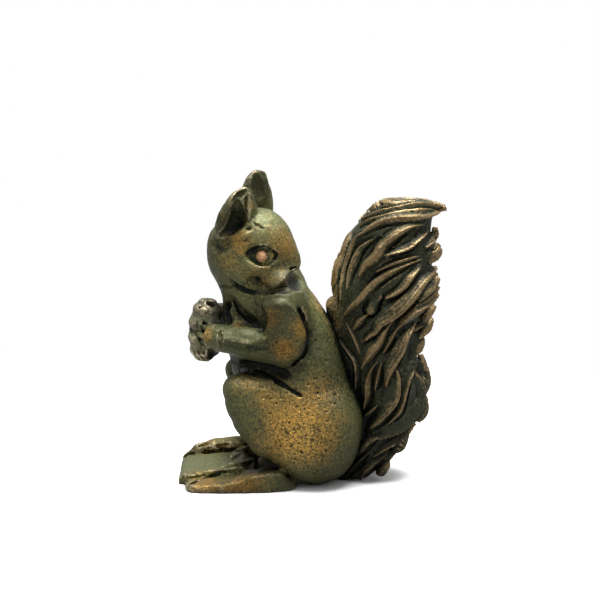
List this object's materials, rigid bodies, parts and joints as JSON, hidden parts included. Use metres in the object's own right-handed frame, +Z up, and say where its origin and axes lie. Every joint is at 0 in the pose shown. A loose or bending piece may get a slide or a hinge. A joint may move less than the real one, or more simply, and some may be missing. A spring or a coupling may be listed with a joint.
{
  "type": "squirrel figurine",
  "caption": "Small cast bronze squirrel that sits up with a nut in its paws, looks back over its shoulder and has a tall tail of carved locks.",
  "frame": {"origin": "on the ground under the middle of the figure's outline", "axes": "+Z up, toes towards -X, tail towards +X, the animal's left side towards -Y"},
  "size_m": [0.0743, 0.0346, 0.0898],
  "materials": {
    "bronze": "cast bronze, dark olive-brown patina, rubbed golden on the high places",
    "tail_bronze": "cast bronze, near-black in the grooves, tan where the ridges are rubbed",
    "nut_bronze": "rough cast bronze, dark patina",
    "eye_bronze": "bare copper-coloured bronze bead",
    "dowel_brass": "plain drawn brass rod, hidden in its bores"
  },
  "bodies": {
    "root": {"body": "bronze", "head": "bronze", "left_ear": "bronze", "right_ear": "bronze", "left_eye": "eye_bronze", "right_eye": "eye_bronze", "left_arm": "bronze", "right_arm": "bronze", "nut": "nut_bronze", "left_foot": "bronze", "right_foot": "bronze", "foot_web": "bronze", "tail": "tail_bronze", "head_dowel": "dowel_brass", "lower_tail_dowel": "dowel_brass", "upper_tail_dowel": "dowel_brass"}
  },
  "joints": []
}
